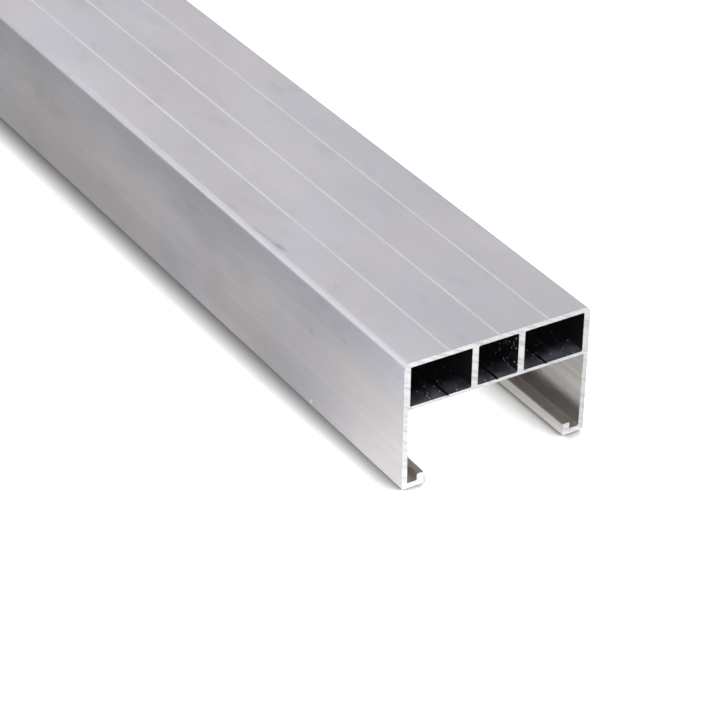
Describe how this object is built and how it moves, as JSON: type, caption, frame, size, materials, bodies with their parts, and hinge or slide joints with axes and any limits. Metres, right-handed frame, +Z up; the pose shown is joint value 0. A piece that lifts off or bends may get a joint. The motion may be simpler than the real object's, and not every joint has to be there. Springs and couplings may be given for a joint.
{
  "type": "aluminium extrusion profile",
  "caption": "Straight aluminium extrusion: a flat box of three cells on two side legs that end in inward hooks, with fine grooves along the top face.",
  "frame": {"origin": "middle of the length, under the middle of the section, on the plane that the two feet stand on", "axes": "+X across the section, +Y along the stock, +Z up, out of the top face"},
  "size_m": [0.06, 1, 0.04],
  "materials": {
    "aluminium": "mill finish, with fine die lines along the length and sawn ends"
  },
  "bodies": {
    "root": {"profile": "aluminium"}
  },
  "joints": []
}
